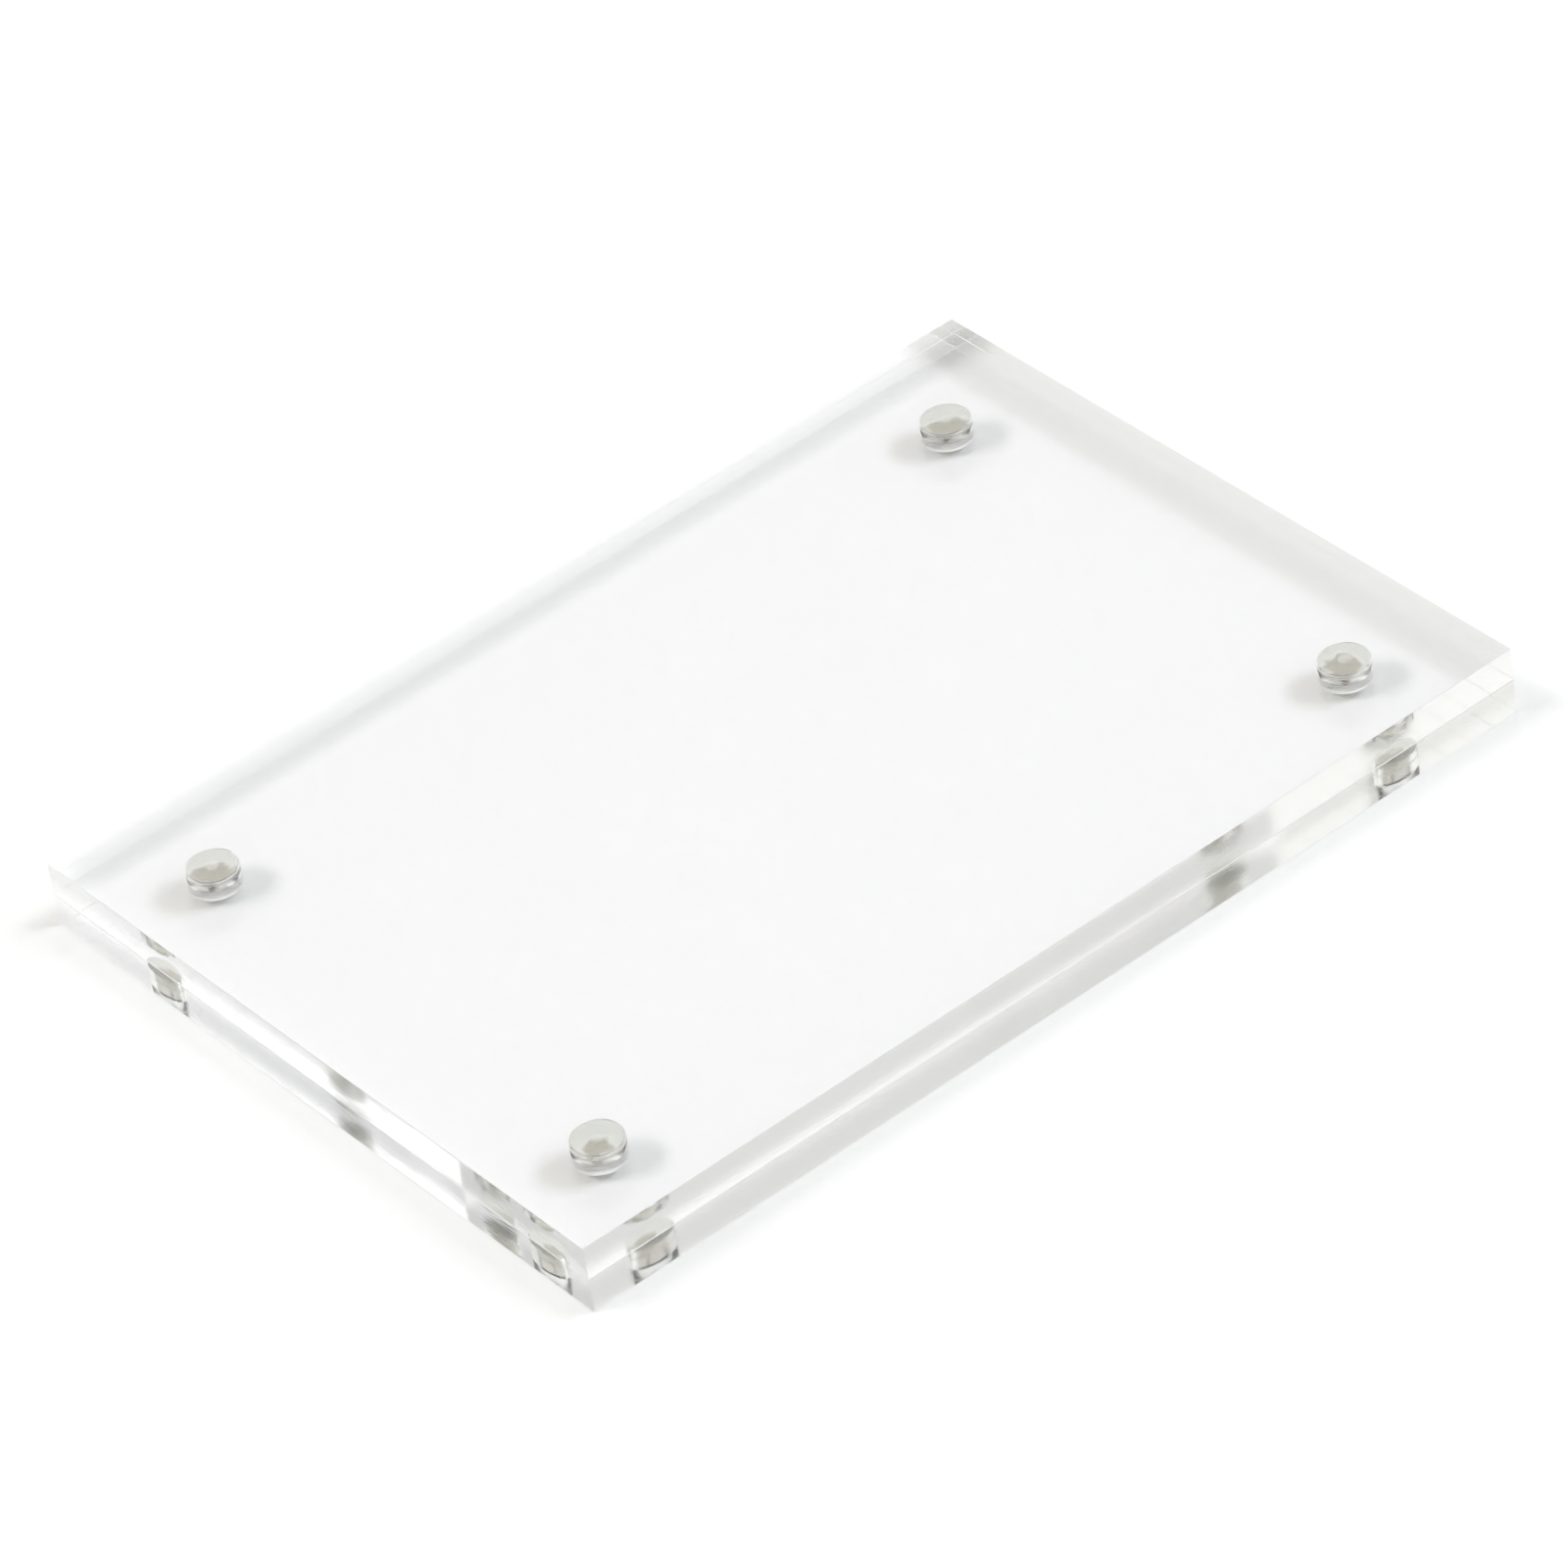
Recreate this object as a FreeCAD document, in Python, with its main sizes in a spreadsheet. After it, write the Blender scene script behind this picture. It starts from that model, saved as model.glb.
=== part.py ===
"""Magnetic acrylic block frame, lying on its back face.

Two clear acrylic panels of the same design lie face to face. Each has four blind round
pockets milled into its inner face, one near each corner, and each pocket holds
a nickel-plated disc magnet that is glued in. The magnets of the upper (front)
panel pull on those of the lower (rear) panel and hold the two together. The
front panel lifts straight off.

Frame, in millimetres: X runs along the long side, Y along the short side, +Z up
through the thickness. The origin is the centre of the rear panel's outer face,
which the object rests on.
"""

import FreeCAD
import Part
import Sketcher
import os

V = FreeCAD.Vector
doc = FreeCAD.newDocument("acrylic_block_frame")

# --------------------------------------------------------------------------
# Driving dimensions
# --------------------------------------------------------------------------
DIMS = [
    # alias, value, what it is
    ("panel_len", 177.8, "panel length, 7 in"),
    ("panel_wid", 127.0, "panel width, 5 in"),
    ("front_thk", 5.75, "front panel thickness, nominal 6 mm sheet"),
    ("rear_thk", 5.97, "rear panel thickness, nominal 6 mm sheet"),
    ("arris", 0.12, "polished arris on every outer edge"),
    ("air_gap", 0.1, "air gap between the two inner faces"),
    ("mag_x", 71.85, "magnet centre from the middle, along X"),
    ("mag_y", 45.45, "magnet centre from the middle, along Y"),
    ("mag_rad", 4.0, "magnet radius"),
    ("mag_thk", 3.0, "magnet thickness"),
    ("mag_round", 0.3, "rounding of the magnet's plated edges"),
    ("mag_recess", 0.1, "magnet face below the panel's inner face"),
    ("pocket_rad", 4.1, "pocket radius"),
    ("pocket_depth", 3.5, "pocket depth from the inner face"),
    ("pocket_break", 0.15, "broken edge at the pocket's mouth"),
    ("glue_skirt", 1.3, "how far the glue runs down the magnet's side"),
]
dims = doc.addObject("Spreadsheet::Sheet", "dims")
for row, (alias, value, note) in enumerate(DIMS, start=1):
    dims.set("A%d" % row, note)
    dims.set("B%d" % row, str(value))
    dims.setAlias("B%d" % row, alias)
doc.recompute()


def dim(alias):
    """The value of a driving dimension, read back from the sheet."""
    return float(getattr(dims, alias))


# --------------------------------------------------------------------------
# Small helpers
# --------------------------------------------------------------------------
def make_body(label):
    body = doc.addObject("PartDesign::Body", label)
    body.Label = label
    return body


def plane(body, role):
    for feature in body.Origin.OriginFeatures:
        if feature.Role == role:
            return feature
    raise RuntimeError("no plane " + role)


def make_sketch(body, name, role, lift=None):
    """A sketch on one of the body's own planes; lift is an expression for its offset."""
    sketch = body.newObject("Sketcher::SketchObject", name)
    sketch.AttachmentSupport = [(plane(body, role), "")]
    sketch.MapMode = "FlatFace"
    if lift:
        sketch.setExpression("AttachmentOffset.Base.z", lift)
    return sketch


def name_last(sketch, name, expression):
    """Names the sketch's newest constraint and binds it to the sheet."""
    index = sketch.ConstraintCount - 1
    sketch.renameConstraint(index, name)
    sketch.setExpression("Constraints." + name, expression)


def centred_rectangle(sketch, x, y, x_expr, y_expr):
    p = [V(-x / 2, -y / 2, 0), V(x / 2, -y / 2, 0), V(x / 2, y / 2, 0), V(-x / 2, y / 2, 0)]
    for i in range(4):
        sketch.addGeometry(Part.LineSegment(p[i], p[(i + 1) % 4]), False)
    for i in range(4):
        sketch.addConstraint(Sketcher.Constraint("Coincident", i, 2, (i + 1) % 4, 1))
    for i in (0, 2):
        sketch.addConstraint(Sketcher.Constraint("Horizontal", i))
    for i in (1, 3):
        sketch.addConstraint(Sketcher.Constraint("Vertical", i))
    sketch.addConstraint(Sketcher.Constraint("Symmetric", 0, 1, 1, 2, -1, 1))
    sketch.addConstraint(Sketcher.Constraint("DistanceX", 0, 1, 0, 2, x))
    name_last(sketch, "along_x", x_expr)
    sketch.addConstraint(Sketcher.Constraint("DistanceY", 1, 1, 1, 2, y))
    name_last(sketch, "along_y", y_expr)


CORNERS = [("1", -1, -1), ("2", 1, -1), ("3", 1, 1), ("4", -1, 1)]  # number, sign of X, sign of Y


def four_circles(sketch, rad, rad_expr):
    """Four equal circles at the magnets' places, each placed from the middle."""
    x, y = dim("mag_x"), dim("mag_y")
    for i, (number, sx, sy) in enumerate(CORNERS):
        sketch.addGeometry(Part.Circle(V(sx * x, sy * y, 0), V(0, 0, 1), rad), False)
        if i:
            sketch.addConstraint(Sketcher.Constraint("Equal", 0, i))
        else:
            sketch.addConstraint(Sketcher.Constraint("Radius", 0, rad))
            name_last(sketch, "radius", rad_expr)
        for kind, sign, size, expr in (("X", sx, x, "dims.mag_x"), ("Y", sy, y, "dims.mag_y")):
            if sign > 0:
                sketch.addConstraint(Sketcher.Constraint("Distance" + kind, -1, 1, i, 3, size))
            else:
                sketch.addConstraint(Sketcher.Constraint("Distance" + kind, i, 3, -1, 1, size))
            name_last(sketch, "centre%s%s" % (number, kind.lower()), expr)


def circle_edges(shape, rad, z):
    """Names of the full circular edges of this radius at this height."""
    found = []
    for i, edge in enumerate(shape.Edges, start=1):
        curve = edge.Curve
        if isinstance(curve, Part.Circle) and abs(curve.Radius - rad) < 1e-4 and abs(curve.Center.z - z) < 1e-4:
            found.append("Edge%d" % i)
    return found


# --------------------------------------------------------------------------
# Panels: one design, cut twice from sheets that differ a little in thickness.
# Pockets open on the side that faces +Z here.
# --------------------------------------------------------------------------
def make_panel(label, thk):
    body = make_body(label)
    outline = make_sketch(body, label + "_outline", "XY_Plane")
    centred_rectangle(outline, dim("panel_len"), dim("panel_wid"), "dims.panel_len", "dims.panel_wid")
    slab = body.newObject("PartDesign::Pad", label + "_slab")
    slab.Profile = outline
    slab.Length = dim(thk)
    slab.setExpression("Length", "dims." + thk)
    doc.recompute()

    # every outer edge is polished with a fine arris
    arris = body.newObject("PartDesign::Chamfer", label + "_arris")
    arris.Base = (slab, ["Edge%d" % (i + 1) for i in range(len(slab.Shape.Edges))])
    arris.Size = dim("arris")
    arris.setExpression("Size", "dims.arris")
    doc.recompute()
    solid_volume = arris.Shape.Volume

    # four blind magnet pockets, milled from the inner face
    holes = make_sketch(body, label + "_pocket_places", "XY_Plane", "dims." + thk)
    four_circles(holes, dim("pocket_rad"), "dims.pocket_rad")
    pockets = body.newObject("PartDesign::Pocket", label + "_pockets")
    pockets.Profile = holes
    pockets.Length = dim("pocket_depth")
    pockets.setExpression("Length", "dims.pocket_depth")
    doc.recompute()
    wanted = 4 * 3.141592653589793 * dim("pocket_rad") ** 2 * dim("pocket_depth")
    if abs(solid_volume - pockets.Shape.Volume - wanted) > 0.01 * wanted:
        raise RuntimeError(label + ": the pockets cut the wrong volume")

    # the cutter leaves the pockets' mouths with a broken edge
    mouths = circle_edges(pockets.Shape, dim("pocket_rad"), dim(thk))
    if len(mouths) != 4:
        raise RuntimeError(label + ": expected four pocket mouths, found %d" % len(mouths))
    broken = body.newObject("PartDesign::Chamfer", label + "_mouths")
    broken.Base = (pockets, mouths)
    broken.Size = dim("pocket_break")
    broken.setExpression("Size", "dims.pocket_break")
    body.Tip = broken
    doc.recompute()
    return body


# --------------------------------------------------------------------------
# Disc magnets, glued into the pockets
# --------------------------------------------------------------------------
def make_magnet(label):
    """A disc magnet standing on its own XY plane."""
    body = make_body(label)
    disc_sketch = make_sketch(body, label + "_circle", "XY_Plane")
    disc_sketch.addGeometry(Part.Circle(V(0, 0, 0), V(0, 0, 1), dim("mag_rad")), False)
    disc_sketch.addConstraint(Sketcher.Constraint("Coincident", 0, 3, -1, 1))
    disc_sketch.addConstraint(Sketcher.Constraint("Radius", 0, dim("mag_rad")))
    name_last(disc_sketch, "radius", "dims.mag_rad")
    disc = body.newObject("PartDesign::Pad", label + "_disc")
    disc.Profile = disc_sketch
    disc.Length = dim("mag_thk")
    disc.setExpression("Length", "dims.mag_thk")
    doc.recompute()
    rims = circle_edges(disc.Shape, dim("mag_rad"), 0.0) + circle_edges(disc.Shape, dim("mag_rad"), dim("mag_thk"))
    if len(rims) != 2:
        raise RuntimeError(label + ": expected two rims, found %d" % len(rims))
    rounded = body.newObject("PartDesign::Fillet", label + "_rims")
    rounded.Base = (disc, rims)
    rounded.Radius = dim("mag_round")
    rounded.setExpression("Radius", "dims.mag_round")
    body.Tip = rounded
    doc.recompute()
    return body


# --------------------------------------------------------------------------
# Set glue: a cup that fills the pocket's end and runs down the magnet's side
# --------------------------------------------------------------------------
def make_glue(label):
    """A cup with its closed end down, on its own XY plane. The magnet stands in it."""
    body = make_body(label)
    section = make_sketch(body, label + "_section", "XZ_Plane")
    outer, inner = dim("pocket_rad"), dim("mag_rad")
    end = dim("pocket_depth") - dim("mag_recess") - dim("mag_thk")
    top = end + dim("glue_skirt")
    # half section, in the sketch's own plane: x is the radius, y the height
    p = [V(0, 0, 0), V(outer, 0, 0), V(outer, top, 0), V(inner, top, 0), V(inner, end, 0), V(0, end, 0)]
    for i in range(6):
        section.addGeometry(Part.LineSegment(p[i], p[(i + 1) % 6]), False)
    for i in range(6):
        section.addConstraint(Sketcher.Constraint("Coincident", i, 2, (i + 1) % 6, 1))
    for i in (0, 2, 4):
        section.addConstraint(Sketcher.Constraint("Horizontal", i))
    for i in (1, 3, 5):
        section.addConstraint(Sketcher.Constraint("Vertical", i))
    section.addConstraint(Sketcher.Constraint("Coincident", 0, 1, -1, 1))
    section.addConstraint(Sketcher.Constraint("DistanceX", 0, 1, 0, 2, outer))
    name_last(section, "outer", "dims.pocket_rad")
    section.addConstraint(Sketcher.Constraint("DistanceX", 4, 2, 4, 1, inner))
    name_last(section, "inner", "dims.mag_rad")
    section.addConstraint(Sketcher.Constraint("DistanceY", 5, 2, 5, 1, end))
    name_last(section, "end", "dims.pocket_depth - dims.mag_recess - dims.mag_thk")
    section.addConstraint(Sketcher.Constraint("DistanceY", 3, 2, 3, 1, dim("glue_skirt")))
    name_last(section, "skirt", "dims.glue_skirt")
    cup = body.newObject("PartDesign::Revolution", label + "_cup")
    cup.Profile = section
    cup.ReferenceAxis = (section, ["V_Axis"])
    cup.Angle = 360.0
    body.Tip = cup
    doc.recompute()
    return body


# --------------------------------------------------------------------------
# Assembly. The rear panel lies pockets up; the front panel is turned over
# about X and laid on it.
# --------------------------------------------------------------------------
TURNED = FreeCAD.Rotation(V(1, 0, 0), 180)
nodes = []


def place(body, x, y, z, turned=False):
    """Puts a body at a point given by expressions, turned over about X or not."""
    body.Placement = FreeCAD.Placement(V(0, 0, 0), TURNED if turned else FreeCAD.Rotation())
    for axis, expression in (("x", x), ("y", y), ("z", z)):
        if expression:
            body.setExpression("Placement.Base." + axis, expression)
    nodes.append(body)


place(make_panel("rear_panel", "rear_thk"), None, None, None)
place(make_panel("front_panel", "front_thk"), None, None, "dims.rear_thk + dims.air_gap + dims.front_thk", turned=True)

for number, sx, sy in CORNERS:
    x = ("" if sx > 0 else "-") + "dims.mag_x"
    y = ("" if sy > 0 else "-") + "dims.mag_y"
    # rear panel: pocket end at rear_thk - pocket_depth, glue on it, magnet on the glue
    place(make_glue("rear_glue_" + number), x, y, "dims.rear_thk - dims.pocket_depth")
    place(make_magnet("rear_magnet_" + number), x, y, "dims.rear_thk - dims.mag_recess - dims.mag_thk")
    # front panel: the same, upside down
    place(make_glue("front_glue_" + number), x, y, "dims.rear_thk + dims.air_gap + dims.pocket_depth", turned=True)
    place(make_magnet("front_magnet_" + number), x, y, "dims.rear_thk + dims.air_gap + dims.mag_recess")

doc.recompute()

# --------------------------------------------------------------------------
# Checks, then one STEP file for each piece
# --------------------------------------------------------------------------
for item in doc.Objects:
    if any(word in item.State for word in ("Invalid", "Error")):
        raise RuntimeError("%s failed: %s" % (item.Label, item.State))
for body in nodes:
    shape = body.Shape
    if shape.isNull() or not shape.isValid() or len(shape.Solids) != 1 or shape.Volume <= 0:
        raise RuntimeError(body.Label + " has no single valid solid")

os.makedirs("parts", exist_ok=True)
total = 0.0
for body in nodes:
    body.Shape.exportStep("parts/%s.step" % body.Label)
    total += body.Shape.Volume
    box = body.Shape.BoundBox
    print(
        "%-16s volume %10.3f mm3  x %8.3f..%8.3f  y %8.3f..%8.3f  z %7.3f..%7.3f"
        % (body.Label, body.Shape.Volume, box.XMin, box.XMax, box.YMin, box.YMax, box.ZMin, box.ZMax)
    )
print("%d pieces, %.1f mm3" % (len(nodes), total))
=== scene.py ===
"""Looks of the clear acrylic block frame: two polished panels, disc magnets glued into blind pockets."""
import bpy
import bmesh
import math
from mathutils import Euler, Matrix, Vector, geometry


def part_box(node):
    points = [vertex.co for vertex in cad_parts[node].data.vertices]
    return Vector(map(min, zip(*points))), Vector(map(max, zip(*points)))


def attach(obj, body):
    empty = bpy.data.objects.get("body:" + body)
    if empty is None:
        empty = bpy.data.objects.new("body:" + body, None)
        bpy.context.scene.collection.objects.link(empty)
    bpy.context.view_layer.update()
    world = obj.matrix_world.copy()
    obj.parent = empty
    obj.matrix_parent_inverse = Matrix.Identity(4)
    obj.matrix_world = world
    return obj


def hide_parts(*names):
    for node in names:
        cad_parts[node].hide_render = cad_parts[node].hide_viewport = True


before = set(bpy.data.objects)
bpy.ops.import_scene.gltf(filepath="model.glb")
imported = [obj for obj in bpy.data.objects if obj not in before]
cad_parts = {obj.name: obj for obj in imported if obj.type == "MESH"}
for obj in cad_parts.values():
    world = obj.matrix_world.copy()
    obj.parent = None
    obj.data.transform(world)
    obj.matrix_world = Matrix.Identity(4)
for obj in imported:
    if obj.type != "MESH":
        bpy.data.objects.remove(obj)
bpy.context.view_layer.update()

MM = 0.001

# --------------------------------------------------------------------------
# Camera: the photograph's viewing angle, from a fit to the block's corners
# --------------------------------------------------------------------------
cam_data = bpy.data.cameras.new("camera")
cam_data.sensor_fit = "HORIZONTAL"
cam_data.sensor_width = 36.0
cam_data.lens = 209.777
cam_data.clip_start = 0.01
cam_data.clip_end = 50.0
cam = bpy.data.objects.new("camera", cam_data)
cam.location = (-0.598335, -0.876922, 0.844147)
cam.rotation_euler = Euler((0.896587, 0.124633, -0.697982), "XYZ")
bpy.context.scene.collection.objects.link(cam)
bpy.context.scene.camera = cam


def link(obj):
    bpy.context.scene.collection.objects.link(obj)
    return obj


# --------------------------------------------------------------------------
# Small node helper
# --------------------------------------------------------------------------
class Tree:
    """A material's node tree, with one-line calls for the nodes used here."""

    def __init__(self, name):
        self.mat = bpy.data.materials.new(name)
        self.mat.use_nodes = True
        self.nt = self.mat.node_tree
        self.nt.nodes.clear()
        self.out = self.nt.nodes.new("ShaderNodeOutputMaterial")

    def node(self, kind, **sets):
        n = self.nt.nodes.new(kind)
        for key, value in sets.items():
            setattr(n, key, value)
        return n

    def join(self, a, b):
        self.nt.links.new(a, b)

    def put(self, socket, value):
        if isinstance(value, bpy.types.NodeSocket):
            self.join(value, socket)
        else:
            socket.default_value = value

    def math(self, op, a, b=None, c=None, clamp=False):
        n = self.node("ShaderNodeMath", operation=op, use_clamp=clamp)
        self.put(n.inputs[0], a)
        if b is not None:
            self.put(n.inputs[1], b)
        if c is not None:
            self.put(n.inputs[2], c)
        return n.outputs[0]

    def mix(self, factor, a, b):
        n = self.node("ShaderNodeMix", data_type="RGBA")
        self.put(n.inputs["Factor"], factor)
        self.put(n.inputs[6], a)
        self.put(n.inputs[7], b)
        return n.outputs[2]

    def ramp(self, value, stops, mode="LINEAR"):
        n = self.node("ShaderNodeValToRGB")
        n.color_ramp.interpolation = mode
        els = n.color_ramp.elements
        while len(els) < len(stops):
            els.new(0.5)
        for el, (pos, col) in zip(els, stops):
            el.position = pos
            el.color = col if len(col) == 4 else (*col, 1.0)
        self.put(n.inputs[0], value)
        return n.outputs[0]

    def noise(self, vector, scale, detail=3.0, rough=0.5):
        n = self.node("ShaderNodeTexNoise")
        self.join(vector, n.inputs["Vector"])
        n.inputs["Scale"].default_value = scale
        n.inputs["Detail"].default_value = detail
        n.inputs["Roughness"].default_value = rough
        return n.outputs[0]

    def place(self):
        return self.node("ShaderNodeTexCoord").outputs["Object"]

    def bump(self, height, strength, distance):
        n = self.node("ShaderNodeBump")
        n.inputs["Strength"].default_value = strength
        n.inputs["Distance"].default_value = distance
        self.join(height, n.inputs["Height"])
        return n.outputs[0]


def principled(t, **sets):
    p = t.node("ShaderNodeBsdfPrincipled")
    for key, value in sets.items():
        t.put(p.inputs[key], value)
    t.join(p.outputs[0], t.out.inputs["Surface"])
    return p


# --------------------------------------------------------------------------
# Materials
# --------------------------------------------------------------------------
def acrylic_material(name, passes, tint, rough, marks, height):
    """Clear cast acrylic. passes is how much of the lamps' light goes through: the large faces
    light what lies under them, the edges keep part of it inside, as total reflection does in the real sheet,
    a different part on each side. marks stretches the polishing marks: small numbers are long."""
    t = Tree(name)
    stretch = t.node("ShaderNodeMapping")
    stretch.inputs["Scale"].default_value = marks
    t.join(t.place(), stretch.inputs["Vector"])
    wear = t.noise(stretch.outputs[0], 1.0, 0.0, 0.5)
    p = principled(t, **{
        "Base Color": tint,
        "Roughness": rough,
        "IOR": 1.49,
        "Transmission Weight": 1.0,
        "Normal": t.bump(wear, 1.0, height),
    })
    clear = t.node("ShaderNodeBsdfTransparent")
    clear.inputs["Color"].default_value = (passes, passes, passes, 1.0)
    mix = t.node("ShaderNodeMixShader")
    t.join(t.node("ShaderNodeLightPath").outputs["Is Shadow Ray"], mix.inputs[0])
    t.join(p.outputs[0], mix.inputs[1])
    t.join(clear.outputs[0], mix.inputs[2])
    t.join(mix.outputs[0], t.out.inputs["Surface"])
    return t.mat


def arris_material():
    """The broken edges: acrylic that was scraped and flame polished, so a little cloudy."""
    t = Tree("clear_acrylic_arris")
    grain = t.noise(t.place(), 900.0, 3.0, 0.6)
    principled(t, **{
        "Base Color": t.mix(grain, (0.90, 0.90, 0.89, 1.0), (1.0, 1.0, 1.0, 1.0)),
        "Roughness": t.math("MULTIPLY_ADD", grain, 0.2, 0.4),
        "IOR": 1.49,
        "Transmission Weight": 0.5,
    })
    return t.mat


def glue_material():
    """Set glue seen through the acrylic: frosted over the magnet's face where air got in,
    darker where it wets both sides, with cutter marks, pinholes and pale runs."""
    t = Tree("set_glue")
    local = t.node("ShaderNodeAttribute", attribute_name="local").outputs["Vector"]
    spot = t.node("ShaderNodeAttribute", attribute_name="spot").outputs["Vector"]
    speck = t.node("ShaderNodeAttribute", attribute_name="speck").outputs["Vector"]

    def length(v):
        n = t.node("ShaderNodeVectorMath", operation="LENGTH")
        t.join(v, n.inputs[0])
        return n.outputs["Value"]

    def step(value, lo, hi):
        n = t.node("ShaderNodeMapRange", interpolation_type="SMOOTHSTEP")
        n.inputs["From Min"].default_value = lo
        n.inputs["From Max"].default_value = hi
        t.join(value, n.inputs["Value"])
        return n.outputs[0]

    soft = t.noise(speck, 0.55, 2.0, 0.5)
    fine = t.noise(speck, 2.6, 5.0, 0.65)
    # the wet patch, with an edge that wanders, and the pale run along its upper edge
    far = t.math("ADD", length(spot), t.math("MULTIPLY_ADD", soft, 1.1, -0.55))
    wet = t.math("SUBTRACT", 1.0, step(far, 0.66, 1.18))
    run = t.math("MULTIPLY", step(far, 0.92, 1.10), t.math("SUBTRACT", 1.0, step(far, 1.12, 1.38)))
    sep = t.node("ShaderNodeSeparateXYZ")
    t.join(local, sep.inputs[0])
    frosted = t.mix(fine, (0.58, 0.585, 0.55, 1.0), (0.71, 0.71, 0.68, 1.0))
    patch = t.mix(fine, (0.35, 0.335, 0.28, 1.0), (0.53, 0.515, 0.46, 1.0))
    colour = t.mix(wet, frosted, patch)
    colour = t.mix(t.math("MULTIPLY", run, 0.3), colour, (0.80, 0.80, 0.775, 1.0))
    # a few rusty pink pinholes
    dots = step(t.noise(speck, 1.7, 1.0, 0.5), 0.66, 0.74)
    colour = t.mix(t.math("MULTIPLY", dots, 0.45), colour, (0.80, 0.62, 0.55, 1.0))
    # down the magnet's side the glue is thin and clear over the dull nickel, and its colour there is painted pale:
    # painted light, lifting the shade in the narrow gap round the magnet
    side = step(sep.outputs[2], 0.55, 0.8)
    # the middle of the pocket's end, over the cutter's dimple, is painted lighter: a painted highlight for the light
    # circle that cone shows
    flat = t.node("ShaderNodeCombineXYZ")
    t.join(sep.outputs[0], flat.inputs[0])
    t.join(sep.outputs[1], flat.inputs[1])
    hub = t.math("SUBTRACT", 1.0, step(t.math("ADD", length(flat.outputs[0]), t.math("MULTIPLY", fine, 0.5)), 0.95, 1.5))
    colour = t.mix(t.math("MULTIPLY", hub, 0.5), colour, (0.74, 0.74, 0.71, 1.0))
    thin = t.mix(fine, (0.60, 0.585, 0.54, 1.0), (0.86, 0.85, 0.81, 1.0))
    colour = t.mix(side, colour, thin)
    rings = t.math("SINE", t.math("MULTIPLY", length(flat.outputs[0]), 38.0))
    height = t.math("ADD", t.math("MULTIPLY", rings, 0.25), t.math("ADD", fine, t.math("MULTIPLY", wet, -0.4)))
    principled(t, **{
        "Base Color": colour,
        "Roughness": t.math("MULTIPLY_ADD", wet, -0.2, 0.6),
        "Specular IOR Level": 0.2,
        "Normal": t.bump(height, 0.6, 0.00004),
    })
    return t.mat


def nickel_material():
    """Bright nickel over a sintered magnet: fine orange peel, handling marks, duller patches."""
    t = Tree("nickel_plate")
    at = t.place()
    peel = t.noise(at, 2600.0, 3.0, 0.55)
    patch = t.noise(at, 330.0, 3.0, 0.6)
    hair = t.node("ShaderNodeMapping")
    hair.inputs["Scale"].default_value = (250.0, 4200.0, 4200.0)
    hair.inputs["Rotation"].default_value = (0.0, 0.0, 0.6)
    t.join(at, hair.inputs["Vector"])
    lines = t.noise(hair.outputs[0], 1.0, 2.0, 0.5)
    principled(t, **{
        "Base Color": t.mix(patch, (0.56, 0.54, 0.50, 1.0), (0.70, 0.685, 0.65, 1.0)),
        "Metallic": 1.0,
        "Roughness": t.math("ADD", t.math("MULTIPLY_ADD", patch, 0.22, 0.10), t.math("MULTIPLY", lines, 0.08)),
        "Normal": t.bump(t.math("ADD", peel, t.math("MULTIPLY", lines, 0.5)), 0.35, 0.00003),
    })
    return t.mat


def paper_material():
    """Matt white table paper, with a trace of fibre."""
    t = Tree("floor_pale")
    fibre = t.noise(t.place(), 420.0, 4.0, 0.6)
    principled(t, **{
        "Base Color": t.mix(fibre, (0.855, 0.855, 0.855, 1.0), (0.865, 0.865, 0.865, 1.0)),
        "Roughness": t.math("MULTIPLY_ADD", fibre, 0.1, 0.85),
        "Specular IOR Level": 0.0,
    })
    return t.mat


ACRYLIC = acrylic_material("clear_acrylic", 0.95, (1.0, 1.0, 1.0, 1.0), 0.0, (40.0, 40.0, 40.0), 0.0000003)
# painted shade: each side of the block gets its own copy of this acrylic, and their tints and the lamp light they let
# through were tuned to the photo's tones, side by side, so some sides read darker and cast more shade than others; the
# real sides are not known to differ
EDGE = acrylic_material("clear_acrylic_edge", 0.42, (1.0, 1.0, 0.985, 1.0), 0.08, (300.0, 300.0, 3500.0), 0.000004)
BACK_EDGE = acrylic_material("clear_acrylic_back_edge", 0.1, (1.0, 1.0, 0.995, 1.0), 0.1, (300.0, 300.0, 3500.0), 0.000004)
LONG_EDGE = acrylic_material("clear_acrylic_long_edge", 0.65, (0.97, 0.97, 0.96, 1.0), 0.12, (300.0, 300.0, 3500.0), 0.000004)
SHORT_EDGE = acrylic_material("clear_acrylic_short_edge", 0.95, (1.0, 1.0, 0.995, 1.0), 0.045, (300.0, 300.0, 3500.0), 0.000004)
POCKET_WALL = acrylic_material("clear_acrylic_pocket", 0.9, (1.0, 1.0, 0.985, 1.0), 0.28, (500.0, 500.0, 4000.0), 0.000006)
ARRIS_MAT = arris_material()
GLUE = glue_material()
NICKEL = nickel_material()


# --------------------------------------------------------------------------
# Meshes
# --------------------------------------------------------------------------
def to_object(bm, name, mats):
    bmesh.ops.recalc_face_normals(bm, faces=bm.faces)
    mesh = bpy.data.meshes.new(name)
    bm.to_mesh(mesh)
    bm.free()
    for m in mats:
        mesh.materials.append(m)
    return link(bpy.data.objects.new(name, mesh))


ARRIS = 0.07 * MM
POCKET_R = 4.1 * MM
POCKET_DEPTH = 3.5 * MM
MOUTH = 0.05 * MM
CORNER = 0.25 * MM       # the cutter's rounded corner, at the pocket's end
DIMPLE_R = 1.1 * MM      # the cutter's centre point leaves a shallow cone
DIMPLE = 0.30 * MM
SEG = 144


def arc(n):
    return [math.pi / 2 * k / n for k in range(n + 1)]


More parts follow.
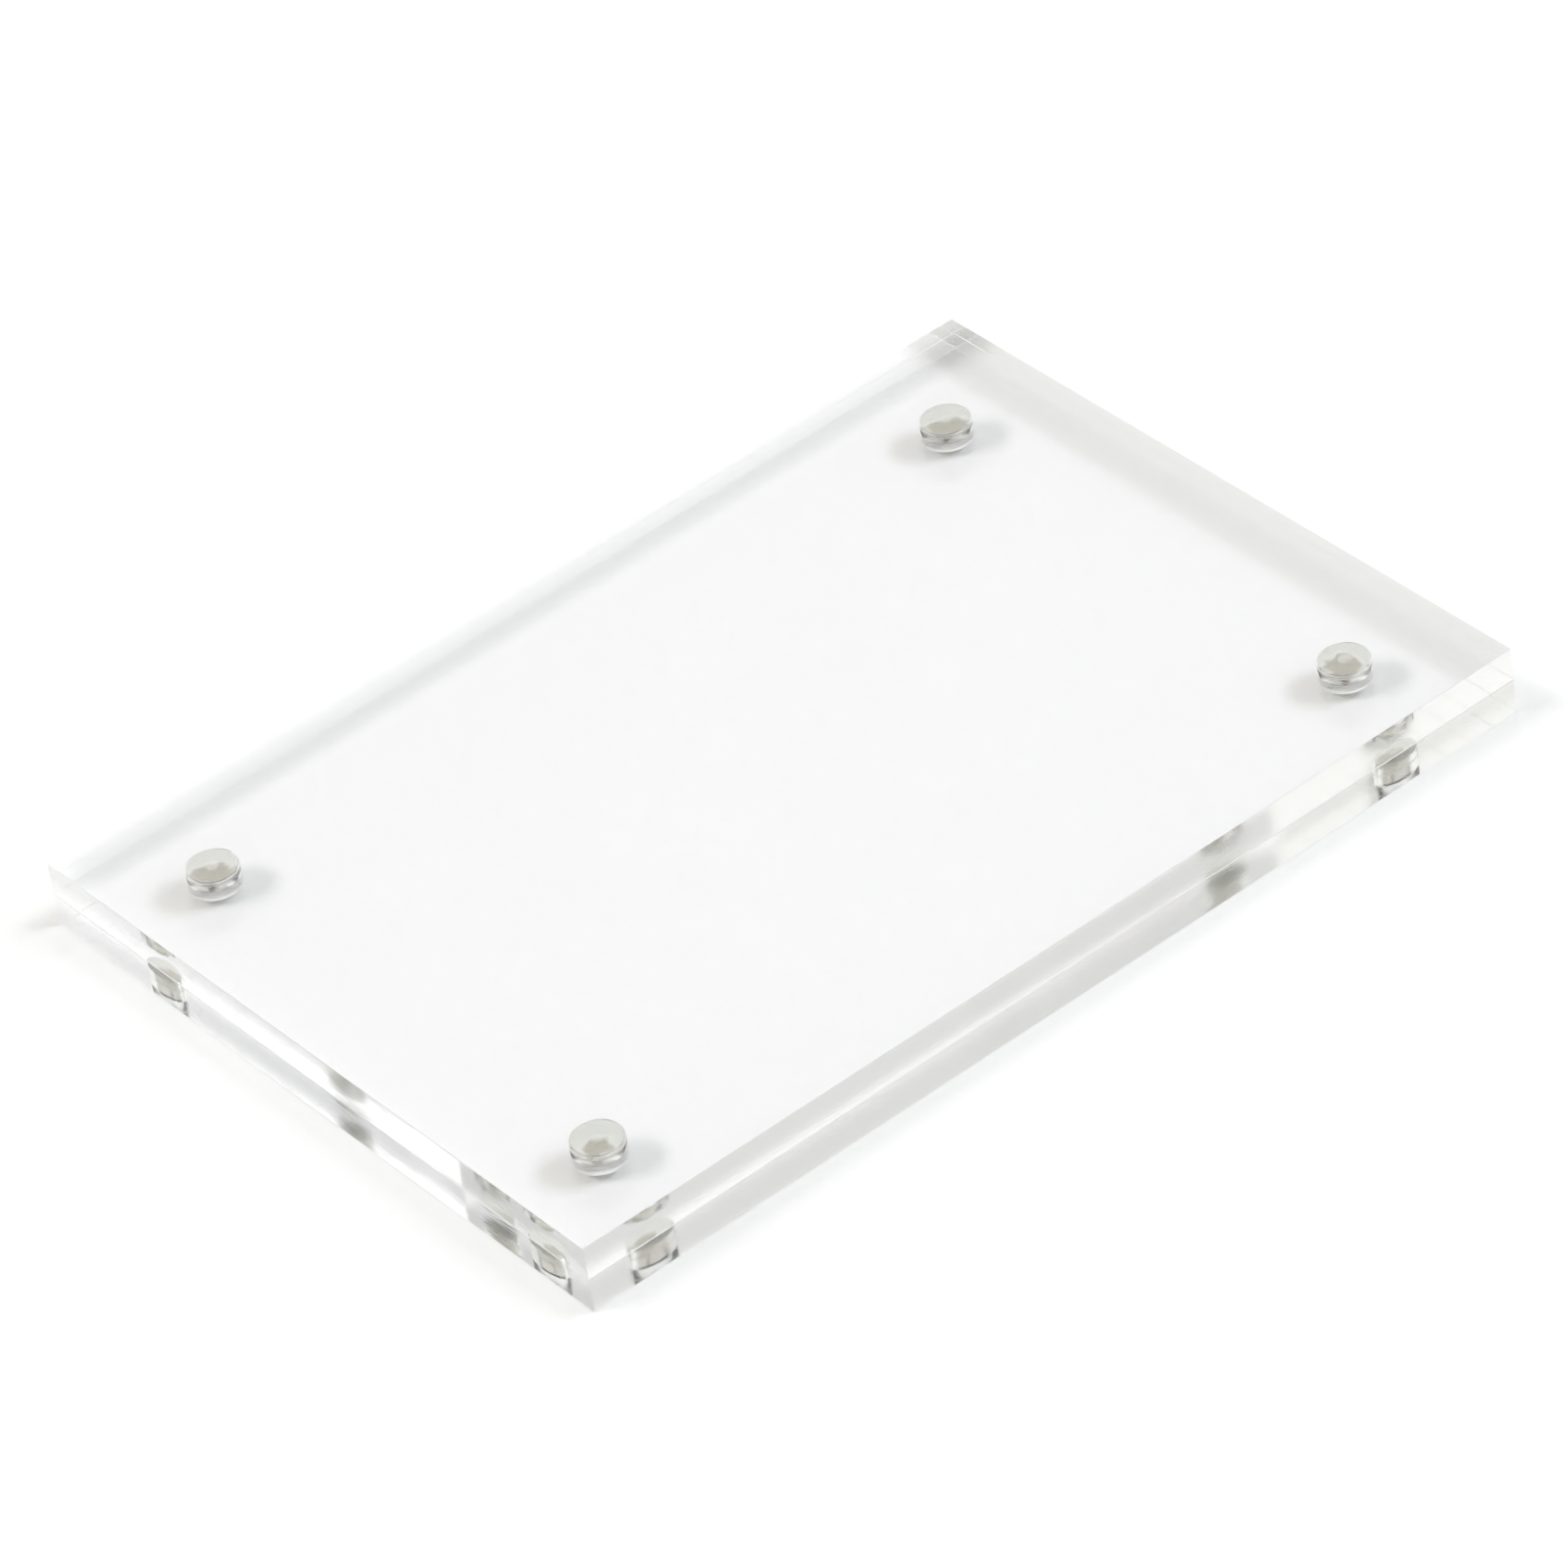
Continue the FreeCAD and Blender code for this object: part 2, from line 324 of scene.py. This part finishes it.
def panel(name, lo, hi, inner_up, centres):
    """A panel with rounded arrises and round pockets in the face that meets the other panel."""
    bm = bmesh.new()
    cx, cy = (lo[0] + hi[0]) / 2, (lo[1] + hi[1]) / 2
    a, b = (hi[0] - lo[0]) / 2, (hi[1] - lo[1]) / 2

    def outline(inset, cut, z):
        x, y = a - inset, b - inset
        pts = [(x - cut, -y), (x, -y + cut), (x, y - cut), (x - cut, y), (-x + cut, y), (-x, y - cut), (-x, -y + cut), (-x + cut, -y)]
        return [bm.verts.new((cx + px, cy + py, z)) for px, py in pts]

    steps = 3
    levels = []
    for k in range(steps + 1):
        f = math.pi / 2 * k / steps
        inset = ARRIS * (1 - math.sin(f))
        levels.append((inset, lo[2] + ARRIS * (1 - math.cos(f))))
    for k in range(steps, -1, -1):
        f = math.pi / 2 * k / steps
        inset = ARRIS * (1 - math.sin(f))
        levels.append((inset, hi[2] - ARRIS * (1 - math.cos(f))))
    rings = [outline(inset, (ARRIS - inset) * 0.6 + ARRIS * 0.3, z) for inset, z in levels]
    for k, (r0, r1) in enumerate(zip(rings, rings[1:])):
        for i in range(8):
            j = (i + 1) % 8
            # the tall middle run of each long side is a polished face, the rest is arris; each of the four faces takes
            # its own copy of the acrylic, with its own painted shade
            f = bm.faces.new((r0[i], r0[j], r1[j], r1[i]))
            f.material_index = {1: 1, 3: 6, 5: 4, 7: 3}.get(i, 2) if k == steps else 2

    zin = hi[2] if inner_up else lo[2]
    inward = -1 if inner_up else 1
    plain, pierced = (rings[0], rings[-1]) if inner_up else (rings[-1], rings[0])
    bm.faces.new(plain)

    mouths = []
    for mx, my in centres:
        profile = [(POCKET_R + MOUTH, 0.0), (POCKET_R, MOUTH)]
        for f in arc(6):
            profile.append((POCKET_R - CORNER * (1 - math.cos(f)), POCKET_DEPTH - CORNER * (1 - math.sin(f))))
        profile.append((DIMPLE_R, POCKET_DEPTH))
        loops = []
        for r, d in profile:
            loops.append([
                bm.verts.new((mx + r * math.cos(2 * math.pi * i / SEG), my + r * math.sin(2 * math.pi * i / SEG), zin + inward * d))
                for i in range(SEG)
            ])
        for n, (r0, r1) in enumerate(zip(loops, loops[1:])):
            for i in range(SEG):
                j = (i + 1) % SEG
                f = bm.faces.new((r0[i], r0[j], r1[j], r1[i]))
                f.smooth = True
                # the cutter leaves the wall a little dull
                f.material_index = 5 if n == 1 else 0
        tip = bm.verts.new((mx, my, zin + inward * (POCKET_DEPTH + DIMPLE)))
        for i in range(SEG):
            bm.faces.new((loops[-1][i], loops[-1][(i + 1) % SEG], tip)).smooth = True
        mouths.append(loops[0])
    # edges between the mouth's bevel, the wall and the end stay crisp
    for e in bm.edges:
        if len(e.link_faces) == 2 and e.calc_face_angle() > math.radians(25):
            e.smooth = False
    polys = [[v.co.copy() for v in pierced]] + [[v.co.copy() for v in m] for m in mouths]
    verts = pierced + [v for m in mouths for v in m]
    for tri in geometry.tessellate_polygon(polys):
        bm.faces.new([verts[i] for i in tri])
    return to_object(bm, name, [ACRYLIC, EDGE, ARRIS_MAT, LONG_EDGE, SHORT_EDGE, POCKET_WALL, BACK_EDGE])


def lathe(name, profile, centre, mats, seg=SEG, smooth_angle=25):
    """A closed solid of revolution about Z. profile: (radius, height) from axis to axis."""
    bm = bmesh.new()
    loops = []
    for r, z in profile:
        if r < 1e-9:
            loops.append([bm.verts.new((centre[0], centre[1], z))])
        else:
            loops.append([
                bm.verts.new((centre[0] + r * math.cos(2 * math.pi * i / seg), centre[1] + r * math.sin(2 * math.pi * i / seg), z))
                for i in range(seg)
            ])
    for l0, l1 in zip(loops, loops[1:]):
        for i in range(seg):
            j = (i + 1) % seg
            if len(l0) == 1 and len(l1) == 1:
                continue
            if len(l0) == 1:
                f = bm.faces.new((l0[0], l1[j], l1[i]))
            elif len(l1) == 1:
                f = bm.faces.new((l0[i], l0[j], l1[0]))
            else:
                f = bm.faces.new((l0[i], l0[j], l1[j], l1[i]))
            f.smooth = True
    for e in bm.edges:
        if len(e.link_faces) == 2 and e.calc_face_angle() > math.radians(smooth_angle):
            e.smooth = False
    return to_object(bm, name, mats)


def glue(name, centre, end, way, lay):
    """Set glue between a magnet and its pocket. It wets the pocket's end and, in a wandering
    bead, the pocket's wall; there it reaches a hair into the acrylic, so no air film shows.
    end is the pocket's end, way is +1 where depth runs up. lay says how the glue ran."""
    bm = bmesh.new()
    local = bm.verts.layers.float_vector.new("local")
    spot = bm.verts.layers.float_vector.new("spot")
    speck = bm.verts.layers.float_vector.new("speck")
    wet, film = 0.012, 4.02

    def wander(phi, k):
        p = lay["seed"] + 1.7 * k
        return 0.5 * math.sin(phi + p) + 0.3 * math.sin(2 * phi + 2.1 * p) + 0.2 * math.sin(5 * phi + 3.7 * p)

    def at_angle(phi):
        wide = lay["bead"] * (1.0 + 0.7 * wander(phi, 1)) * (0.55 + 0.45 * math.cos(phi - math.radians(lay["bead_at"])))
        wide = min(max(wide, 0.0), 0.62)
        out = film + (4.1 + wet - film) * min(1.0, wide / 0.08)
        low = 1.62 + 0.05 * wander(phi, 2)
        high = low - max(wide, 0.03)
        turn = math.radians(min(max(78 + 24 * wander(phi, 3), 50), 90))
        corner = [(3.85 + (CORNER + wet) * math.sin(turn * k / 3), CORNER - (CORNER + wet) * math.cos(turn * k / 3)) for k in range(4)]
        return [
            (0.30, -wet - 0.26), (0.62, -wet - 0.16), (1.1, -wet), (2.4, -wet)] + corner + [
            (4.01, 0.30), (4.0, 0.34), (film, 0.42), (film, high - 0.05), (out, high), (out, (high + low) / 2), (out, low), (film, low + 0.04),
            (film, 1.695), (3.999, 1.70), (3.999, 0.55), (3.90, 0.42), (3.6, 0.4), (2.0, 0.4),
        ]

    def vert(x, y, d):
        v = bm.verts.new((centre[0] + x * MM, centre[1] + y * MM, end + way * d * MM))
        v[local] = (x, y, d)
        sx, sy = x - lay["spot"][0], y - lay["spot"][1]
        ca, sa = math.cos(math.radians(lay["turn"])), math.sin(math.radians(lay["turn"]))
        v[spot] = ((sx * ca + sy * sa) / lay["size"][0], (sy * ca - sx * sa) / lay["size"][1], 0.0)
        v[speck] = (x + 13.0 * lay["seed"], y + 7.0 * lay["seed"], d)
        return v

    columns = []
    for i in range(SEG):
        phi = 2 * math.pi * i / SEG
        columns.append([vert(r * math.cos(phi), r * math.sin(phi), d) for r, d in at_angle(phi)])
    top, bottom = vert(0.0, 0.0, -wet - 0.29), vert(0.0, 0.0, 0.4)
    for i in range(SEG):
        a, b = columns[i], columns[(i + 1) % SEG]
        bm.faces.new((top, a[0], b[0]))
        for k in range(len(a) - 1):
            bm.faces.new((a[k], a[k + 1], b[k + 1], b[k]))
        bm.faces.new((bottom, b[-1], a[-1]))
    for f in bm.faces:
        f.smooth = True
    for e in bm.edges:
        if len(e.link_faces) == 2 and e.calc_face_angle() > math.radians(40):
            e.smooth = False
    return to_object(bm, name, [GLUE])


# How the glue ran at each magnet: where the wet patch lies on the pocket's end (mm from the
# centre), its half widths and turn, and how wide and on which side the bead on the wall is.
GLUE_LAY = {
    "front": {
        "1": {"seed": 1.3, "spot": (-1.25, -1.75), "size": (2.1, 2.3), "turn": -35, "bead": 0.46, "bead_at": 265},
        "2": {"seed": 2.1, "spot": (-1.35, -1.05), "size": (2.6, 2.9), "turn": -20, "bead": 0.40, "bead_at": 235},
        "3": {"seed": 3.6, "spot": (-1.10, -1.75), "size": (3.4, 2.2), "turn": -35, "bead": 0.34, "bead_at": 260},
        "4": {"seed": 4.4, "spot": (-1.05, -1.60), "size": (3.5, 2.3), "turn": -35, "bead": 0.32, "bead_at": 235},
    },
    "rear": {
        "1": {"seed": 5.2, "spot": (0.4, 0.6), "size": (2.0, 2.4), "turn": 20, "bead": 0.26, "bead_at": 265},
        "2": {"seed": 6.7, "spot": (-0.5, 0.3), "size": (2.6, 1.9), "turn": 50, "bead": 0.30, "bead_at": 235},
        "3": {"seed": 7.9, "spot": (0.2, -0.6), "size": (2.2, 2.2), "turn": 0, "bead": 0.28, "bead_at": 250},
        "4": {"seed": 8.5, "spot": (0.6, 0.2), "size": (2.4, 1.8), "turn": 75, "bead": 0.28, "bead_at": 245},
    },
}


centres = {}
for n in ("1", "2", "3", "4"):
    lo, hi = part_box("rear_magnet_" + n)
    centres[n] = ((lo[0] + hi[0]) / 2, (lo[1] + hi[1]) / 2)

for side, inner_up in (("rear", True), ("front", False)):
    lo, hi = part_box(side + "_panel")
    obj = panel(side + "_panel_polished", lo, hi, inner_up, list(centres.values()))
    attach(obj, side)
    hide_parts(side + "_panel")
    for n, c in centres.items():
        lo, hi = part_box("%s_magnet_%s" % (side, n))
        # a disc with rounded plated edges
        r, z0, z1, q = 4.0 * MM, lo[2], hi[2], 0.3 * MM
        prof = [(0, z0)]
        for k in range(7):
            f = math.pi / 2 * k / 6
            prof.append((r - q + q * math.sin(f), z0 + q - q * math.cos(f)))
        for k in range(7):
            f = math.pi / 2 * k / 6
            prof.append((r - q + q * math.cos(f), z1 - q + q * math.sin(f)))
        prof.append((0, z1))
        m = lathe("%s_magnet_plated_%s" % (side, n), prof, c, [NICKEL])
        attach(m, side)
        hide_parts("%s_magnet_%s" % (side, n))
        glo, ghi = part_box("%s_glue_%s" % (side, n))
        end, way = (glo[2], 1) if inner_up else (ghi[2], -1)
        g = glue("%s_glue_set_%s" % (side, n), c, end, way, GLUE_LAY[side][n])
        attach(g, side)
        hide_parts("%s_glue_%s" % (side, n))

# --------------------------------------------------------------------------
# Plain pale floor and soft studio light
# --------------------------------------------------------------------------
bm = bmesh.new()
bmesh.ops.create_grid(bm, x_segments=1, y_segments=1, size=6.0)
floor = to_object(bm, "floor", [])
floor.location.z = -0.0001
floor.data.materials.append(paper_material())


def toward(az, el):
    az, el = math.radians(az), math.radians(el)
    return Vector((math.cos(el) * math.cos(az), math.cos(el) * math.sin(az), math.sin(el)))


def softbox(name, az, el, dist, w, h, share, tint=(1, 1, 1)):
    """A soft light aimed at the object; az and el in degrees from it. share is what it
    gives the table, where 1 would light white paper to full white."""
    data = bpy.data.lights.new(name, "AREA")
    data.shape = "RECTANGLE"
    data.size, data.size_y = w, h
    data.energy = share * math.pi ** 2 * dist ** 2 / math.sin(math.radians(el))
    data.color = tint
    data.cycles.use_multiple_importance_sampling = False
    obj = link(bpy.data.objects.new(name, data))
    d = toward(az, el)
    obj.location = d * dist
    obj.rotation_euler = d.to_track_quat("Z", "Y").to_euler()
    obj.visible_transmission = False
    obj.visible_glossy = False
    return obj


# steep, because light that is bent on its way into the block travels steeply in it
softbox("softbox_left", 150, 60, 3.0, 0.95, 0.6, 0.30, (1.0, 0.98, 0.94))
softbox("softbox_right", 328, 60, 3.0, 0.95, 0.6, 0.29, (0.82, 0.91, 1.0))
softbox("softbox_back", 47, 54.5, 3.0, 0.5, 0.3, 0.05)

# the room: pale walls all round, broad soft patches of light on them
world = bpy.data.worlds.new("studio")
bpy.context.scene.world = world
world.use_nodes = True
wt = world.node_tree
wt.nodes.clear()
w_out = wt.nodes.new("ShaderNodeOutputWorld")
w_bg = wt.nodes.new("ShaderNodeBackground")
wt.links.new(w_bg.outputs[0], w_out.inputs[0])
w_dir = wt.nodes.new("ShaderNodeTexCoord").outputs["Generated"]


def glow(az, el, colour):
    """A soft patch of the room round (az, el), half as bright 25 degrees from there."""
    dot = wt.nodes.new("ShaderNodeVectorMath")
    dot.operation = "DOT_PRODUCT"
    dot.inputs[1].default_value = toward(az, el)
    wt.links.new(w_dir, dot.inputs[0])
    near = wt.nodes.new("ShaderNodeMath")
    near.operation = "MULTIPLY_ADD"
    near.inputs[1].default_value = 7.0
    near.inputs[2].default_value = -7.0
    wt.links.new(dot.outputs["Value"], near.inputs[0])
    fade = wt.nodes.new("ShaderNodeMath")
    fade.operation = "EXPONENT"
    wt.links.new(near.outputs[0], fade.inputs[0])
    col = wt.nodes.new("ShaderNodeVectorMath")
    col.operation = "SCALE"
    col.inputs[0].default_value = colour
    wt.links.new(fade.outputs[0], col.inputs["Scale"])
    return col.outputs[0]


def add_up(vectors):
    total = vectors[0]
    for v in vectors[1:]:
        n = wt.nodes.new("ShaderNodeVectorMath")
        n.operation = "ADD"
        wt.links.new(total, n.inputs[0])
        wt.links.new(v, n.inputs[1])
        total = n.outputs[0]
    return total


room = add_up([
    glow(20, 38, (0.458, 0.381, 0.322)),
    glow(55, 38, (0.172, 0.222, 0.291)),
    glow(90, 38, (0.277, 0.239, 0.173)),
    glow(125, 38, (0.543, 0.549, 0.593)),
    glow(305, 38, (1.130, 1.141, 1.157)),
    glow(55, 8, (0.373, 0.379, 0.315)),
    glow(145, 8, (1.158, 1.169, 1.046)),
    glow(235, 8, (1.235, 1.203, 1.001)),
    glow(325, 8, (1.062, 1.020, 1.008)),
])
wt.links.new(room, w_bg.inputs["Color"])
world.cycles.sampling_method = "NONE"
w_bg.inputs["Strength"].default_value = 1.0

scene = bpy.context.scene
scene.view_settings.view_transform = "Standard"
scene.view_settings.look = "None"
scene.cycles.max_bounces = 48
scene.cycles.transmission_bounces = 48
scene.cycles.glossy_bounces = 32
scene.cycles.diffuse_bounces = 4
scene.cycles.transparent_max_bounces = 24
scene.cycles.denoising_input_passes = "RGB"
scene.cycles.blur_glossy = 0.0
scene.cycles.sample_clamp_indirect = 4.0
scene.cycles.use_adaptive_sampling = False
